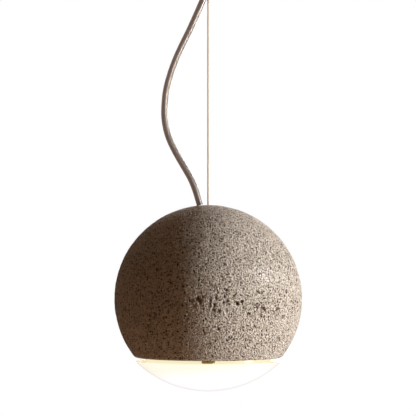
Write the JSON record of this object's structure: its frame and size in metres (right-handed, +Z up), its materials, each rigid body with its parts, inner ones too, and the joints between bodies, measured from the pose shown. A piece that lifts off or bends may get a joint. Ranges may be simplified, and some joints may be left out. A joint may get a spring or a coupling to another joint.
{
  "type": "pendant ceiling light",
  "caption": "Ball-shaped concrete pendant light on a steel wire, with a clear flex, an opal glass bowl below and a round ceiling canopy.",
  "frame": {"origin": "middle of the ceiling bracket, on the ceiling", "axes": "+Z up into the ceiling, +X to the right in the front view, -Y towards the front; the light hangs down -Z"},
  "size_m": [0.1798, 0.1798, 0.4986],
  "materials": {
    "concrete": "porous warm grey cast concrete, unpolished",
    "opal_glass": "white opal glass, satin, lit from inside",
    "clear_glass": "clear glass",
    "light_strip": "light strip, lit",
    "brass": "bright rolled brass",
    "steel": "plain steel",
    "satin_nickel": "satin nickel plate",
    "white_paint": "satin white stoving paint",
    "clear_sheath": "clear sheath over coloured cores",
    "nylon": "natural nylon",
    "rubber": "soft black rubber",
    "ceramic": "unglazed white ceramic",
    "brown_core": "brown insulation",
    "blue_core": "blue insulation",
    "earth_core": "green and yellow insulation"
  },
  "bodies": {
    "ceiling": {"ceiling_bracket": "steel", "canopy_cup": "satin_nickel", "canopy_screw_1": "satin_nickel", "canopy_screw_2": "satin_nickel", "gripper_body": "satin_nickel", "gripper_nut": "steel", "gripper_cap": "steel", "wire_tail": "steel", "wire_ferrule": "steel", "cord_grip": "nylon", "cord_grip_nut": "nylon", "flex_tail": "clear_sheath", "terminal_block": "nylon", "terminal_screw_1": "brass", "terminal_screw_2": "brass", "terminal_screw_3": "brass", "supply_lead_live": "brown_core", "supply_lead_earth": "earth_core", "supply_lead_neutral": "blue_core", "power_flex": "clear_sheath"},
    "release": {"gripper_plunger": "satin_nickel", "grip_ball_1": "steel", "grip_ball_2": "steel", "grip_ball_3": "steel", "spring_washer": "steel", "grip_spring": "steel"},
    "wire": {"suspension_wire": "steel"},
    "shade": {"concrete_shade": "concrete", "cushion_washer": "rubber", "hanger_frame": "steel", "swaged_wire_end": "steel", "inner_flex": "clear_sheath", "cord_clamp": "nylon", "lamp_lead_live": "brown_core", "lamp_lead_neutral": "blue_core", "lamp_lead_earth": "earth_core", "reflector_tray": "white_paint", "earth_screw": "brass", "rod_nut_1": "steel", "rod_nut_2": "steel", "rod_nut_3": "steel", "spring_clip_1": "brass", "spring_clip_2": "brass", "spring_clip_3": "brass", "clip_screw_1": "steel", "clip_screw_2": "steel", "clip_screw_3": "steel", "lampholder": "ceramic", "lampholder_bridge": "steel", "bridge_screw_1": "steel", "bridge_screw_2": "steel", "holder_screw": "steel"},
    "diffuser": {"glass_diffuser": "opal_glass"},
    "lamp": {"lamp_envelope": "clear_glass", "light_strip": "light_strip", "lamp_base": "ceramic", "lamp_pin_1": "steel", "lamp_pin_2": "steel"}
  },
  "joints": [
    {"name": "wire_swing", "type": "hinge", "parent": "ceiling", "child": "wire", "pos_m": [0, 0, -0.053], "axis": [0, 1, 0], "range_deg": [-15, 15], "deforming": ["power_flex"]},
    {"name": "shade_tilt", "type": "hinge", "parent": "wire", "child": "shade", "pos_m": [0, 0, -0.32], "axis": [1, 0, 0], "range_deg": [-6, 6]},
    {"name": "diffuser_lift_off", "type": "slide", "parent": "shade", "child": "diffuser", "axis": [0, 0, -1], "range_m": [0, 0.06]},
    {"name": "lamp_pull_out", "type": "slide", "parent": "shade", "child": "lamp", "axis": [0, 0, -1], "range_m": [0, 0.012]},
    {"name": "gripper_release", "type": "slide", "parent": "ceiling", "child": "release", "axis": [0, 0, 1], "range_m": [0, 0.0025], "stiffness_N_per_m": 400, "springref_m": -0.002, "deforming": ["grip_spring"]}
  ]
}
